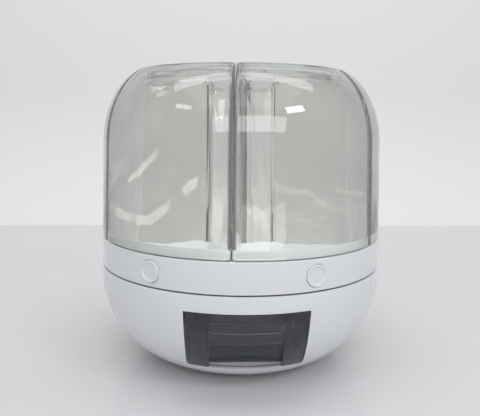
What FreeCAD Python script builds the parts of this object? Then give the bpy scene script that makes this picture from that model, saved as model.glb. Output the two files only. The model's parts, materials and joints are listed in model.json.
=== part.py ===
import FreeCAD, Part
import math
import os

V = FreeCAD.Vector
UP = V(0, 0, 1)

# Driving dimensions, in millimetres. The origin is on the table, under the middle of the object.
# +Z is up and the front, with the cup's window, faces -Y. Round walls are drawn in even chords.
BINS = 6
FOOT_H = 4.5
GAP_Z = 105.5
RUNNING_GAP = 0.6
SEAT = 0.05
RING_R = 150.0
RING_H = 30.2
HOPPER_H = 40.2
BIN_H = 200.2
LID_H = 200.8
ROUND_SIDES = 42
BORE_SIDES = 14
BOSS_SIDES = 6
CORNER_STEPS = 2

# A plane in front of the whole object, and how far a cut or a root runs past the face it meets
FRONT_Y = -160.0
OVER = 1.0

# The turntable stands a little turned, so that one partition faces the viewer.
PARTITION_AZ = -5.75
BIN_PITCH = 360.0 / BINS

# Bowl of the base: an ellipse with its centre off the axis, closed by a flat floor
BOWL_WALL = 3.0
BOWL_CENTRE_R = 70.0
BOWL_CENTRE_Z = GAP_Z - 8.0
BOWL_A = 81.5
BOWL_B = 93.5
BOWL_BANDS = 6
BOWL_INNER_BANDS = 4

# Window in the bowl and the panel that fills it
WINDOW_TOP_Z = GAP_Z - 16.0
WINDOW_BOTTOM_Z = GAP_Z - 78.0
WINDOW_TOP_HALF = 57.0
WINDOW_BOTTOM_HALF = 55.0
WINDOW_ROUND = 3.5
WINDOW_DEPTH_Y = -88.0
PANEL_GAP = 1.2
PANEL_WALL = 2.6

# Measuring cup
CUP_RIM_Z = GAP_Z - 24.0
CUP_TOP_Z = WINDOW_TOP_Z - 0.8
CUP_FLOOR_Z = WINDOW_BOTTOM_Z + SEAT
CUP_BACK_Y = -50.0
CUP_BACK_ROUND = 8.0
POCKET_HALF = 34.0
POCKET_BACK_Y = -109.0
POCKET_CEILING_Z = GAP_Z - 26.0
POCKET_WALL = 2.0
POCKET_ROUND = 6.0
GRIP_TOP_Z = GAP_Z - 36.0
GRIP_BOTTOM_Z = GAP_Z - 47.0
GRIP_PROUD = 0.7
GRIP_WALL = 5.0

# Cup bay, the walls that the cup slides between
BAY_GAP = 1.0
BAY_WALL = 2.2
BAY_BACK_Y = CUP_BACK_Y + BAY_GAP
BAY_TOP_Z = GAP_Z - 14.0
BAY_EAR_R = 6.0
BAY_EAR_H = 14.0
BAY_EAR_Y = (-62.0, -100.0)
BAY_EAR_X = 64.0

# Deck that closes the bowl
DECK_TOP_Z = GAP_Z - 6.9
DECK_T = 3.0
DECK_BOTTOM_Z = DECK_TOP_Z - DECK_T
DECK_R = 147.0
DECK_RIBS = 5
DECK_RIB_H = 5.0
DECK_RIB_T = 2.0
DECK_BOSS_R = 140.5
DECK_BOSS_COUNT = 6
DECK_BOSS_AZ = 30.0
BOSS_R = 5.0
BOSS_H = 34.0
SCREW_SIDES = 6
SCREW_R = 1.7
SCREW_HOLE_R = 2.0
SCREW_HEAD_R = 3.6
SCREW_HEAD_H = 2.0
SCREW_L = 12.0

# Bearing: rollers lie flat between two races, in a cage
TRACK_R = 70.0
ROLLER_R = 3.0
ROLLER_L = 9.0
ROLLERS = 8
ROLLER_SIDES = 8
ROLLER_AXIS_Z = GAP_Z - 3.05
RACE_T = 0.75
RACE_HALF_W = 8.0
RACE_SIDES = 24
CAGE_HALF_W = 7.0
CAGE_HALF_T = 1.2
CAGE_GAP = 0.35

# Spindle in the middle
SPINDLE_R = 6.0
SPINDLE_GAP = 0.06
SPINDLE_END_R = 5.0
SPINDLE_TOP_Z = GAP_Z + 25.4
SPINDLE_SHOULDER_H = 4.0
SPINDLE_SHOULDER_R = 12.0
HUB_SIDES = 12
SPINDLE_END_SIDES = 12
HUB_R = 13.0
HUB_BOSS_H = 22.0
HUB_TOP_Z = GAP_Z + 18.0
WASHER_R = 11.0
WASHER_T = 1.5
NUT_H = 5.0
NUT_R = 8.7
CAP_SIDES = 14
CAP_R = 24.0
CAP_TOP_Z = GAP_Z + 31.0
CAP_WALL = 2.0
CAP_ROUND = 5.0

# Turntable: outer ring, and the tray inside it
RING_WALL = 3.0
RING_LEDGE_W = 6.0
RING_LEDGE_T = 3.0
TRAY_FLOOR_Z = GAP_Z + 0.8
TRAY_FLOOR_T = 2.0
TRAY_TOP_Z = TRAY_FLOOR_Z + TRAY_FLOOR_T
TRAY_R = RING_R - RING_WALL - 0.1
TRAY_RIB_TOP_Z = GAP_Z + 16.0
TRAY_RIB_T = 2.4
TRAY_RIB_R = (36.0, 134.0)
LUG_R = 4.5
LUG_H = 12.0
LUG_CENTRE_R = 142.0
LUG_WEB = 3.0
RING_SCREW_L = 10.0
RING_SCREW_HEAD_H = 1.6
PASSAGE_GROW = 1.5

# Clear bins
BIN_GAP = 0.7
BIN_WALL = 2.6
BIN_BOTTOM_Z = GAP_Z + RING_H + SEAT
BIN_TOP_Z = GAP_Z + BIN_H
BIN_R_TOP = 147.0
BIN_R_IN = 38.0
BIN_ROUND = 3.6
SHOULDER_R = 92.0
SHOULDER_Z = GAP_Z + 125.0
SHOULDER_A = BIN_R_TOP - SHOULDER_R
SHOULDER_B = 80.0
SHOULDER_BANDS = 4
SHOULDER_INNER_BANDS = 3
WALL_CHORDS = 7

# Mouth of a bin and its lid
MOUTH_R = 108.8
MOUTH_INSET = 4.0
MOUTH_R_IN = 42.0
MOUTH_ROUND = 9.0
MOUTH_CHORDS = 5
COLLAR_T = 2.0
COLLAR_BOTTOM_Z = GAP_Z + 188.6
LEDGE_W = 3.0
LEDGE_T = 1.6
LID_GAP = 0.35
LID_T = 2.4
LID_TOP_Z = GAP_Z + LID_H
LID_SKIRT_BOTTOM_Z = COLLAR_BOTTOM_Z + LEDGE_T + SEAT
LID_SKIRT_T = 2.0
SEAL_Z = GAP_Z + 193.6
SEAL_H = 2.4
SEAL_DEPTH = 0.9
SEAL_GAP = 0.12
PULL_HALF = 17.0
PULL_W = 9.0
PULL_DEPTH = 4.0
PULL_WALL = 1.6
PULL_R = 88.0
PULL_BAR = 5.0

# Hopper under each bin, and the outlet that its gate closes
HOPPER_TOP_Z = GAP_Z + HOPPER_H
HOPPER_FOOT_Z = GAP_Z + 31.6
HOPPER_WALL = 2.0
FUNNEL_DROP = 2.4
THROAT_TOP_Z = GAP_Z + 17.0
THROAT_BOTTOM_Z = GAP_Z + 10.4
OUTLET_R_IN = 90.0
OUTLET_R_OUT = 100.0
OUTLET_HALF = 18.0

# Gate, the shutter under an outlet, and the button that pushes it
PRESS = 11.0
GATE_Z = GAP_Z + 7.9
GATE_T = 2.0
GATE_HALF = 20.5
GATE_R_IN = 87.0
GATE_R_OUT = 116.0
GATE_LAP = 1.4
RAIL_LIP = 2.2
RAIL_T = 1.6
RAIL_GAP = 0.35
RAIL_TOP_Z = THROAT_BOTTOM_Z + 2.6
RAIL_R_IN = GATE_R_IN - PRESS - 1.0
RAIL_R_OUT = GATE_R_OUT + 1.0
BUTTON_Z = GAP_Z + 14.7
BUTTON_R = 10.4
BUTTON_BORE_R = 10.8
BUTTON_FACE_X = 151.0
BUTTON_RIM = 1.8
BUTTON_DISH = 1.2
BUTTON_DISH_R = 6.4
FLANGE_SIDES = 8
FLANGE_R = 12.1
FLANGE_X = (144.8, 146.2)
STEM_SIDES = 6
STEM_R = 3.2
STEM_GAP = 0.2
STEM_TIP_X = 126.5
BLADE_HALF = 7.0
BLADE_Z = (GAP_Z + 7.6, GAP_Z + 10.2)
BLADE_TIP_X = GATE_R_OUT + SEAT
BRACKET_X = (127.0, 129.0)
BRACKET_HALF = 12.0
BRACKET_TOP_Z = GAP_Z + 21.5
SPRING_SIDES = 6
SPRING_R_IN = 3.8
SPRING_R_OUT = 4.45
CLEAR = 0.4

# Drop chute, from the deck into the cup
CHUTE_TOP_Y = (-104.0, -85.0)
CHUTE_LOW_Y = (-102.0, -85.0)
CHUTE_TOP_HALF = 21.0
CHUTE_LOW_HALF = 19.0
CHUTE_TOP_Z = DECK_TOP_Z + 1.0
CHUTE_LOW_Z = CUP_RIM_Z + 1.0
CHUTE_WALL = 1.6
CHUTE_FLANGE = 3.0

# Rubber feet
FOOT_SIDES = 10
FOOT_R = 9.0
FOOT_BEVEL = 1.2
FOOT_RING_R = 66.0


def save(node, shape):
    if not shape.isValid():
        print("not valid:", node)
    print(node, len(shape.Solids), "solids", round(shape.Volume / 1000.0, 2), "cm3")
    shape.exportStep("parts/" + node + ".step")


def clean(shape):
    """The same solid without seams between faces that lie in one surface."""
    return shape.removeSplitter()


def fused(shapes):
    return clean(shapes[0].multiFuse(shapes[1:]))


def polygon(points):
    """A closed wire through points, the last joined to the first."""
    return Part.makePolygon(list(points) + [points[0]])


def flat(points):
    return Part.Face(polygon(points))


def prism(points, along):
    """The solid that a flat outline sweeps along a vector."""
    return flat(points).extrude(along)


def closed(faces):
    """The solid inside a closed set of faces."""
    solid = Part.Solid(Part.Shell(faces))
    if solid.Volume < 0.0:
        solid.reverse()
    return clean(solid)


def stacked(outlines):
    """The solid that runs through level outlines of equal corner counts, low to high."""
    faces = [flat(outlines[0]), flat(outlines[-1])]
    for low, high in zip(outlines, outlines[1:]):
        for k, corner in enumerate(low):
            faces.append(flat([low[k - 1], corner, high[k], high[k - 1]]))
    return closed(faces)


def farthest(points, direction):
    return max(range(len(points)), key=lambda k: points[k].dot(direction))


def transition(low, high):
    """The solid between two level convex outlines, both drawn counter-clockwise.

    Each edge of one outline is joined to the corner of the other that lies farthest out from it.
    """
    faces = [flat(low), flat(high)]
    for edges, corners, nudge in ((low, high, 1e-6), (high, low, -1e-6)):
        for k, point in enumerate(edges):
            along = point - edges[k - 1]
            outward = V(along.y, -along.x, 0)
            outward = outward + along * nudge
            apex = corners[farthest(corners, outward)]
            faces.append(flat([edges[k - 1], point, apex]))
    return closed(faces)


def box(x, y, z):
    """A box between two values along each axis."""
    return Part.makeBox(x[1] - x[0], y[1] - y[0], z[1] - z[0], V(x[0], y[0], z[0]))


def even_outline(r, z, sides, first=0.0, x=0.0, y=0.0):
    """Corners of an even polygon round an upright axis, its first one in the direction first."""
    points = []
    for k in range(sides):
        angle = math.radians(first - 90.0 + 360.0 * k / sides)
        points.append(V(x + r * math.cos(angle), y + r * math.sin(angle), z))
    return points


def post(r, z0, z1, sides, x=0.0, y=0.0, first=0.0):
    """An upright bar with an even number of flat sides."""
    return prism(even_outline(r, z0, sides, first, x, y), V(0, 0, z1 - z0))


def plate_ring(r_in, r_out, z0, z1, sides, first=0.0):
    ring = post(r_out, z0, z1, sides, first=first)
    return ring.cut(post(r_in, z0 - OVER, z1 + OVER, sides, first=first))


def bar_outline(r, x, z, sides):
    """Corners of an even polygon round an axis along X."""
    turns = [2.0 * math.pi * (k + 0.5) / sides for k in range(sides)]
    return [V(x, r * math.cos(turn), z + r * math.sin(turn)) for turn in turns]


def bar(r, x0, x1, z, sides):
    return prism(bar_outline(r, x0, z, sides), V(x1 - x0, 0, 0))


def cylinder(r, z0, z1):
    return Part.makeCylinder(r, z1 - z0, V(0, 0, z0))


def bin_azimuth(i):
    """Direction of a bin's middle, from the front towards +X."""
    return PARTITION_AZ + BIN_PITCH * (i + 0.5)


def at_azimuth(shape, azimuth):
    """Turn a shape made along +X so that it points in a direction given from the front."""
    placed = shape.copy()
    placed.rotate(V(0, 0, 0), UP, azimuth - 90.0)
    return placed


def around(shape, count, first=0.0):
    """Copies of a shape made along +X, evenly round the axis, as a list."""
    return [at_azimuth(shape, first + 360.0 * i / count) for i in range(count)]


def rounded(corners, steps=CORNER_STEPS):
    """Points of a closed outline whose corners, given with a radius each, are rounded."""
    points = []
    for k, (corner, radius) in enumerate(corners):
        if radius <= 0.0:
            points.append(corner)
            continue
        back = (corners[k - 1][0] - corner).normalize()
        ahead = (corners[(k + 1) % len(corners)][0] - corner).normalize()
        half = back.getAngle(ahead) / 2.0
        middle = (back + ahead).normalize()
        centre = corner + middle * (radius / math.sin(half))
        start = corner + back * (radius / math.tan(half)) - centre
        end = corner + ahead * (radius / math.tan(half)) - centre
        sweep = math.pi - 2.0 * half
        for step in range(steps + 1):
            turn = sweep * step / steps
            share = start * math.sin(sweep - turn) + end * math.sin(turn)
            points.append(centre + share * (1.0 / math.sin(sweep)))
    return points


def sector_outline(r_in, r_out, inset, z, radius=0.0, chords=WALL_CHORDS):
    """Corners of a wedge one bin pitch wide along +X, each side moved inward by inset.

    Every outline is drawn about the point where its two sides meet, so outlines of one inset
    stack with flat faces. The rounding of the outer corners shrinks with the wedge.
    """
    half = math.radians(BIN_PITCH / 2.0)
    apex = V(inset / math.sin(half), 0, z)

    def arc_points(r, pieces, sign):
        reach = r - apex.x
        angles = [sign * half * (2.0 * k / pieces - 1.0) for k in range(pieces + 1)]
        return [apex + V(reach * math.cos(a), reach * math.sin(a), 0) for a in angles]

    outer = [(p, 0.0) for p in arc_points(r_out, chords, 1.0)]
    shrink = radius * (r_out - apex.x) / (RING_R - apex.x)
    outer[0] = (outer[0][0], shrink)
    outer[-1] = (outer[-1][0], shrink)
    inner = [(p, 0.0) for p in arc_points(r_in, 1, -1.0)]
    return rounded(outer + inner)


def sector_prism(r_in, r_out, inset, z0, z1, radius=0.0, chords=WALL_CHORDS):
    return prism(sector_outline(r_in, r_out, inset, z0, radius, chords), V(0, 0, z1 - z0))


def bowl_solid(inward, top, bands):
    """The full body inside the bowl's surface, moved inward by a given amount."""
    a, b = BOWL_A - inward, BOWL_B - inward
    low = math.asin((FOOT_H + inward - BOWL_CENTRE_Z) / b)
    high = math.asin((top - BOWL_CENTRE_Z) / b)
    outlines = []
    for k in range(bands + 1):
        turn = low + (high - low) * k / bands
        r = BOWL_CENTRE_R + a * math.cos(turn)
        outlines.append(even_outline(r, BOWL_CENTRE_Z + b * math.sin(turn), ROUND_SIDES))
    return stacked(outlines)


def window_prism(inset, y_front, y_back, top_z, bottom_z):
    """The window's outline seen from the front, narrowed by inset, run along Y."""
    slope = (WINDOW_TOP_HALF - WINDOW_BOTTOM_HALF) / (WINDOW_TOP_Z - WINDOW_BOTTOM_Z)
    top_half = WINDOW_TOP_HALF + slope * (top_z - WINDOW_TOP_Z) - inset
    bottom_half = WINDOW_BOTTOM_HALF + slope * (bottom_z - WINDOW_BOTTOM_Z) - inset
    radius = max(WINDOW_ROUND - inset, 1.5)
    corners = [
        (V(-top_half, y_front, top_z), 0.0),
        (V(top_half, y_front, top_z), 0.0),
        (V(bottom_half, y_front, bottom_z), radius),
        (V(-bottom_half, y_front, bottom_z), radius),
    ]
    return prism(rounded(corners), V(0, y_back - y_front, 0))


def screw_post(x, y, seat, shank, head):
    """A fastener with a head on its seat and a shank of a given length, down or up."""
    body = post(SCREW_R, min(seat, seat + shank), max(seat, seat + shank), SCREW_SIDES, x, y)
    cap = post(SCREW_HEAD_R, min(seat, seat + head), max(seat, seat + head), SCREW_SIDES, x, y)
    return clean(body.fuse(cap))


def deck_boss_points():
    """Places of the deck's screws, round the bowl and clear of the window."""
    points = []
    for i in range(DECK_BOSS_COUNT):
        angle = math.radians(DECK_BOSS_AZ + 360.0 * i / DECK_BOSS_COUNT)
        points.append((DECK_BOSS_R * math.sin(angle), -DECK_BOSS_R * math.cos(angle)))
    return points


def bay_ear_points():
    """Places of the ears that hang the cup bay from the deck."""
    return [(side * BAY_EAR_X, y) for y in BAY_EAR_Y for side in (-1, 1)]


def foot_points():
    """Places of the feet, one at each corner of a square."""
    reach = FOOT_RING_R * math.sqrt(0.5)
    return [(sx * reach, sy * reach) for sx in (-1, 1) for sy in (-1, 1)]


def base_shell():
    outer = bowl_solid(0.0, GAP_Z - RUNNING_GAP, BOWL_BANDS)
    shell = outer.cut(bowl_solid(BOWL_WALL, GAP_Z, BOWL_INNER_BANDS))
    for x, y in deck_boss_points():
        azimuth = math.degrees(math.atan2(x, -y))
        foot = DECK_BOTTOM_Z - BOSS_H
        boss = post(BOSS_R, foot, DECK_BOTTOM_Z, BOSS_SIDES, x, y, azimuth)
        shell = shell.fuse(boss.common(outer))
        shell = shell.cut(post(SCREW_R, DECK_BOTTOM_Z - SCREW_L, DECK_BOTTOM_Z, SCREW_SIDES, x, y))
    window = window_prism(0.0, FRONT_Y, WINDOW_DEPTH_Y, WINDOW_TOP_Z, WINDOW_BOTTOM_Z)
    return clean(shell.cut(window))


def rubber_feet():
    feet = []
    for x, y in foot_points():
        feet.append(stacked([
            even_outline(FOOT_R - FOOT_BEVEL, 0.0, FOOT_SIDES, 0.0, x, y),
            even_outline(FOOT_R, FOOT_BEVEL, FOOT_SIDES, 0.0, x, y),
            even_outline(FOOT_R, FOOT_H, FOOT_SIDES, 0.0, x, y),
        ]))
    return Part.makeCompound(feet)


def base_deck():
    """Round plate with stiffening ribs, a boss for the spindle and a hole for the chute."""
    plate = post(DECK_R, DECK_BOTTOM_Z, DECK_TOP_Z, ROUND_SIDES)
    boss = post(HUB_R, DECK_BOTTOM_Z - HUB_BOSS_H, DECK_BOTTOM_Z, HUB_SIDES)
    half_t = DECK_RIB_T / 2.0
    rib = box((HUB_R - OVER, DECK_BOSS_R - BOSS_R - DECK_RIB_T), (-half_t, half_t),
              (DECK_BOTTOM_Z - DECK_RIB_H, DECK_BOTTOM_Z))
    ribs = around(rib, DECK_RIBS + 1)[1:]
    deck = fused([plate, boss] + ribs)
    deck = deck.cut(spindle_end(DECK_BOTTOM_Z - HUB_BOSS_H - OVER, DECK_TOP_Z + OVER))
    reach = CHUTE_WALL + SEAT
    deck = deck.cut(box((-CHUTE_TOP_HALF - reach, CHUTE_TOP_HALF + reach),
                        (CHUTE_TOP_Y[0] - reach, CHUTE_TOP_Y[1] + reach),
                        (DECK_BOTTOM_Z - OVER, DECK_TOP_Z + OVER)))
    for x, y in deck_boss_points() + bay_ear_points():
        hole = post(SCREW_HOLE_R, DECK_BOTTOM_Z - OVER, DECK_TOP_Z + OVER, SCREW_SIDES, x, y)
        deck = deck.cut(hole)
    return clean(deck)


def deck_screws():
    return Part.makeCompound([screw_post(x, y, DECK_TOP_Z, -SCREW_L, SCREW_HEAD_H)
                              for x, y in deck_boss_points()])


def bay_screws():
    return Part.makeCompound([screw_post(x, y, DECK_TOP_Z, -SCREW_L, SCREW_HEAD_H)
                              for x, y in bay_ear_points()])


def cup_bay():
    """A tray with a floor, two sides and a back, hung under the deck by four ears."""
    inside_bowl = bowl_solid(BOWL_WALL + SEAT, GAP_Z, BOWL_INNER_BANDS)
    floor_z = WINDOW_BOTTOM_Z
    outer = window_prism(-BAY_WALL, FRONT_Y, BAY_BACK_Y + BAY_WALL, BAY_TOP_Z, floor_z - BAY_WALL)
    inner = window_prism(0.0, FRONT_Y - OVER, BAY_BACK_Y, BAY_TOP_Z + OVER, floor_z)
    bay = outer.cut(inner).common(inside_bowl)
    for x, y in bay_ear_points():
        ear = post(BAY_EAR_R, BAY_TOP_Z - BAY_EAR_H, DECK_BOTTOM_Z, BOSS_SIDES, x, y)
        bay = bay.fuse(ear.cut(inner))
        bay = bay.cut(post(SCREW_R, DECK_BOTTOM_Z - SCREW_L, DECK_BOTTOM_Z, SCREW_SIDES, x, y))
    return clean(bay)


def cup_outline(inset, y_back, z0, z1, radius):
    """Plan of the cup below its rim: straight sides and a back with rounded corners."""
    prism_side = window_prism(inset, FRONT_Y, y_back, z1, z0)
    half = WINDOW_TOP_HALF
    corners = [
        (V(-half, FRONT_Y, z0), 0.0),
        (V(half, FRONT_Y, z0), 0.0),
        (V(half - inset, y_back, z0), radius),
        (V(-half + inset, y_back, z0), radius),
    ]
    return prism_side.common(prism(rounded(corners), V(0, 0, z1 - z0)))


def pocket_prism(grow, y_back, z0, z1, radius):
    """The finger pocket's arched outline seen from the front, run back to a given depth."""
    reach = POCKET_HALF + grow
    corners = [
        (V(-reach, FRONT_Y, z0), 0.0),
        (V(reach, FRONT_Y, z0), 0.0),
        (V(reach, FRONT_Y, z1), radius),
        (V(-reach, FRONT_Y, z1), radius),
    ]
    return prism(rounded(corners), V(0, y_back - FRONT_Y, 0))


def measuring_cup():
    """Smoked clear cup: its front wall follows the bowl and hides a hooded finger pocket."""
    bowl = bowl_solid(0.0, GAP_Z, BOWL_BANDS)
    bowl_inside = bowl_solid(PANEL_WALL, GAP_Z, BOWL_INNER_BANDS)
    body = cup_outline(PANEL_GAP, CUP_BACK_Y, CUP_FLOOR_Z, CUP_TOP_Z, CUP_BACK_ROUND).common(bowl)
    body = body.cut(bowl_inside.common(box((-RING_R, RING_R), (FRONT_Y, 0), (CUP_RIM_Z, GAP_Z))))
    hollow = cup_outline(PANEL_GAP + POCKET_WALL, CUP_BACK_Y - POCKET_WALL,
                         CUP_FLOOR_Z + POCKET_WALL, CUP_TOP_Z, CUP_BACK_ROUND - POCKET_WALL)
    hollow = hollow.common(bowl_inside)
    below = CUP_FLOOR_Z - 5.0
    shroud = pocket_prism(POCKET_WALL, POCKET_BACK_Y + POCKET_WALL, below, CUP_RIM_Z,
                          POCKET_ROUND + POCKET_WALL)
    space = pocket_prism(0.0, POCKET_BACK_Y, below, POCKET_CEILING_Z, POCKET_ROUND)
    mouth = pocket_prism(0.0, POCKET_BACK_Y, below, GRIP_BOTTOM_Z, 0.0)
    grip = box((-POCKET_HALF, POCKET_HALF), (FRONT_Y, POCKET_BACK_Y), (GRIP_BOTTOM_Z, GRIP_TOP_Z))
    grip = grip.common(bowl_solid(-GRIP_PROUD, GAP_Z, BOWL_BANDS))
    grip = grip.cut(bowl_solid(GRIP_WALL, GAP_Z, BOWL_BANDS))
    cup = body.cut(hollow.cut(shroud)).cut(space.common(bowl_inside)).cut(mouth)
    return clean(cup.fuse(grip))


def chute_section(half, y, z, wall):
    return [
        V(-half - wall, y[0] - wall, z),
        V(half + wall, y[0] - wall, z),
        V(half + wall, y[1] + wall, z),
        V(-half - wall, y[1] + wall, z),
    ]


def chute_body(wall):
    return transition(chute_section(CHUTE_LOW_HALF, CHUTE_LOW_Y, CHUTE_LOW_Z, wall),
                      chute_section(CHUTE_TOP_HALF, CHUTE_TOP_Y, CHUTE_TOP_Z, wall))


def drop_chute():
    """A funnel that hangs in the deck's hole by its flange."""
    reach = CHUTE_WALL + CHUTE_FLANGE
    flange = box((-CHUTE_TOP_HALF - reach, CHUTE_TOP_HALF + reach),
                 (CHUTE_TOP_Y[0] - reach, CHUTE_TOP_Y[1] + reach), (DECK_TOP_Z, CHUTE_TOP_Z))
    return clean(chute_body(CHUTE_WALL).fuse(flange).cut(chute_body(0.0)))


def race(z0, z1):
    return plate_ring(TRACK_R - RACE_HALF_W, TRACK_R + RACE_HALF_W, z0, z1, RACE_SIDES)


def lower_race():
    top = ROLLER_AXIS_Z - ROLLER_R - SEAT
    return race(top - RACE_T, top)


def upper_race():
    bottom = ROLLER_AXIS_Z + ROLLER_R + SEAT
    return race(bottom, bottom + RACE_T)


def roller_cage():
    cage = plate_ring(TRACK_R - CAGE_HALF_W, TRACK_R + CAGE_HALF_W, ROLLER_AXIS_Z - CAGE_HALF_T,
                      ROLLER_AXIS_Z + CAGE_HALF_T, RACE_SIDES)
    reach = ROLLER_R + CAGE_GAP
    half_l = ROLLER_L / 2.0 + CAGE_GAP
    slot = box((TRACK_R - half_l, TRACK_R + half_l), (-reach, reach),
               (ROLLER_AXIS_Z - ROLLER_R, ROLLER_AXIS_Z + ROLLER_R))
    return clean(cage.cut(around(slot, ROLLERS)))


def bearing_rollers():
    half_l = ROLLER_L / 2.0
    roller = bar(ROLLER_R, TRACK_R - half_l, TRACK_R + half_l, ROLLER_AXIS_Z, ROLLER_SIDES)
    return Part.makeCompound(around(roller, ROLLERS))


def spindle_end(z0, z1):
    return post(SPINDLE_END_R, z0, z1, SPINDLE_END_SIDES)


def spindle():
    """A post pressed into the deck's boss, with a shoulder that stands on the deck."""
    end = spindle_end(DECK_BOTTOM_Z - HUB_BOSS_H, SPINDLE_TOP_Z)
    journal = cylinder(SPINDLE_R, DECK_TOP_Z, HUB_TOP_Z + CLEAR)
    shoulder = post(SPINDLE_SHOULDER_R, DECK_TOP_Z, DECK_TOP_Z + SPINDLE_SHOULDER_H, HUB_SIDES)
    return fused([end, journal, shoulder])


def hub_washer():
    z0 = HUB_TOP_Z + CLEAR
    washer = post(WASHER_R, z0, z0 + WASHER_T, HUB_SIDES)
    return washer.cut(spindle_end(z0 - OVER, z0 + WASHER_T + OVER))


def hub_nut():
    z0 = HUB_TOP_Z + CLEAR + WASHER_T
    return post(NUT_R, z0, z0 + NUT_H, 6).cut(spindle_end(z0 - OVER, z0 + NUT_H + OVER))


def hub_cap():
    """A cap with a rounded edge over the spindle's end, standing on the tray's floor."""
    outlines = [even_outline(CAP_R, TRAY_TOP_Z, CAP_SIDES)]
    for k in range(CORNER_STEPS + 1):
        turn = math.pi / 2.0 * k / CORNER_STEPS
        r = CAP_R - CAP_ROUND * (1.0 - math.cos(turn))
        z = CAP_TOP_Z - CAP_ROUND * (1.0 - math.sin(turn))
        outlines.append(even_outline(r, z, CAP_SIDES))
    hollow = post(CAP_R - CAP_WALL, TRAY_TOP_Z - OVER, CAP_TOP_Z - CAP_ROUND, CAP_SIDES)
    return clean(stacked(outlines).cut(hollow))


def turntable_ring():
    """The glossy band: a wall with a ledge at its top, bored for the buttons."""
    bottom = GAP_Z + RUNNING_GAP
    top = GAP_Z + RING_H
    band = post(RING_R, bottom, top, ROUND_SIDES, first=PARTITION_AZ)
    below = post(RING_R - RING_WALL, bottom, top - RING_LEDGE_T, ROUND_SIDES, first=PARTITION_AZ)
    inside = post(RING_R - RING_LEDGE_W, bottom, top, ROUND_SIDES, first=PARTITION_AZ)
    ring = band.cut(below).cut(inside)
    lug = post(LUG_R, TRAY_TOP_Z, TRAY_TOP_Z + LUG_H, BOSS_SIDES, LUG_CENTRE_R)
    lug = lug.fuse(box((LUG_CENTRE_R, RING_R - RING_WALL / 2.0), (-LUG_WEB / 2.0, LUG_WEB / 2.0),
                       (TRAY_TOP_Z, TRAY_TOP_Z + LUG_H)))
    lug = lug.cut(post(SCREW_R, TRAY_FLOOR_Z, TRAY_TOP_Z + LUG_H, SCREW_SIDES, LUG_CENTRE_R))
    bore = bar(BUTTON_BORE_R, RING_R - 2.0 * RING_WALL, RING_R + OVER, BUTTON_Z, BORE_SIDES)
    ring = fused([ring] + around(lug, BINS, PARTITION_AZ))
    return clean(ring.cut(around(bore, BINS, bin_azimuth(0))))


def ring_screws():
    """Screws that hold the ring's lugs down to the tray, put in from below."""
    one = screw_post(LUG_CENTRE_R, 0.0, TRAY_FLOOR_Z, RING_SCREW_L, -RING_SCREW_HEAD_H)
    return Part.makeCompound(around(one, BINS, PARTITION_AZ))


def button_bracket():
    """Upright plate on the tray that guides a button's stem and backs its spring."""
    plate = box(BRACKET_X, (-BRACKET_HALF, BRACKET_HALF), (TRAY_TOP_Z, BRACKET_TOP_Z))
    reach = (BRACKET_X[0] - OVER, BRACKET_X[1] + OVER)
    plate = plate.cut(bar(STEM_R + STEM_GAP, reach[0], reach[1], BUTTON_Z, STEM_SIDES))
    return plate.cut(box(reach, (-BLADE_HALF - CLEAR, BLADE_HALF + CLEAR),
                         (BLADE_Z[0] - CLEAR, BLADE_Z[1] + CLEAR)))


def turntable_tray():
    """Floor with a hub, six passages, six stiffening ribs and six button brackets."""
    floor = post(TRAY_R, TRAY_FLOOR_Z, TRAY_TOP_Z, ROUND_SIDES, first=PARTITION_AZ)
    hub = post(HUB_R, TRAY_FLOOR_Z, HUB_TOP_Z, HUB_SIDES)
    rib = box(TRAY_RIB_R, (-TRAY_RIB_T / 2.0, TRAY_RIB_T / 2.0), (TRAY_TOP_Z, TRAY_RIB_TOP_Z))
    ribs = around(rib, BINS, PARTITION_AZ)
    brackets = around(button_bracket(), BINS, bin_azimuth(0))
    tray = fused([floor, hub] + ribs + brackets)
    passage = box((OUTLET_R_IN - PASSAGE_GROW, OUTLET_R_OUT + PASSAGE_GROW),
                  (-OUTLET_HALF - PASSAGE_GROW, OUTLET_HALF + PASSAGE_GROW),
                  (TRAY_FLOOR_Z - OVER, TRAY_TOP_Z + OVER))
    screw_hole = post(SCREW_HOLE_R, TRAY_FLOOR_Z - OVER, TRAY_TOP_Z + OVER, SCREW_SIDES, LUG_CENTRE_R)
    tray = tray.cut(around(passage, BINS, bin_azimuth(0)))
    tray = tray.cut(around(screw_hole, BINS, PARTITION_AZ))
    bore = cylinder(SPINDLE_R + SPINDLE_GAP, TRAY_FLOOR_Z - OVER, HUB_TOP_Z + OVER)
    return clean(tray.cut(bore))


def wall_radius(z):
    """Radius of the bins' drafted outer wall at a height."""
    share = (z - BIN_BOTTOM_Z) / (SHOULDER_Z - BIN_BOTTOM_Z)
    return RING_R + (BIN_R_TOP - RING_R) * share


def bin_body(inward, z0, top, bands, radius):
    """One full wedge of a bin: drafted wall, elliptical shoulder and flat top."""
    a, b = SHOULDER_A - inward, SHOULDER_B - inward
    inset = BIN_GAP + inward
    r_in = BIN_R_IN + inward
    outlines = [sector_outline(r_in, wall_radius(z0) - inward, inset, z0, radius)]
    last = math.asin((top - SHOULDER_Z) / b)
    for k in range(bands + 1):
        turn = last * k / bands
        r = SHOULDER_R + a * math.cos(turn)
        z = SHOULDER_Z + b * math.sin(turn)
        outlines.append(sector_outline(r_in, r, inset, z, radius))
    return stacked(outlines)


def mouth_prism(grow, z0, z1):
    """The mouth's outline, widened by grow."""
    return sector_prism(MOUTH_R_IN - grow, MOUTH_R + grow, MOUTH_INSET - grow, z0, z1,
                        MOUTH_ROUND + grow, MOUTH_CHORDS)


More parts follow.
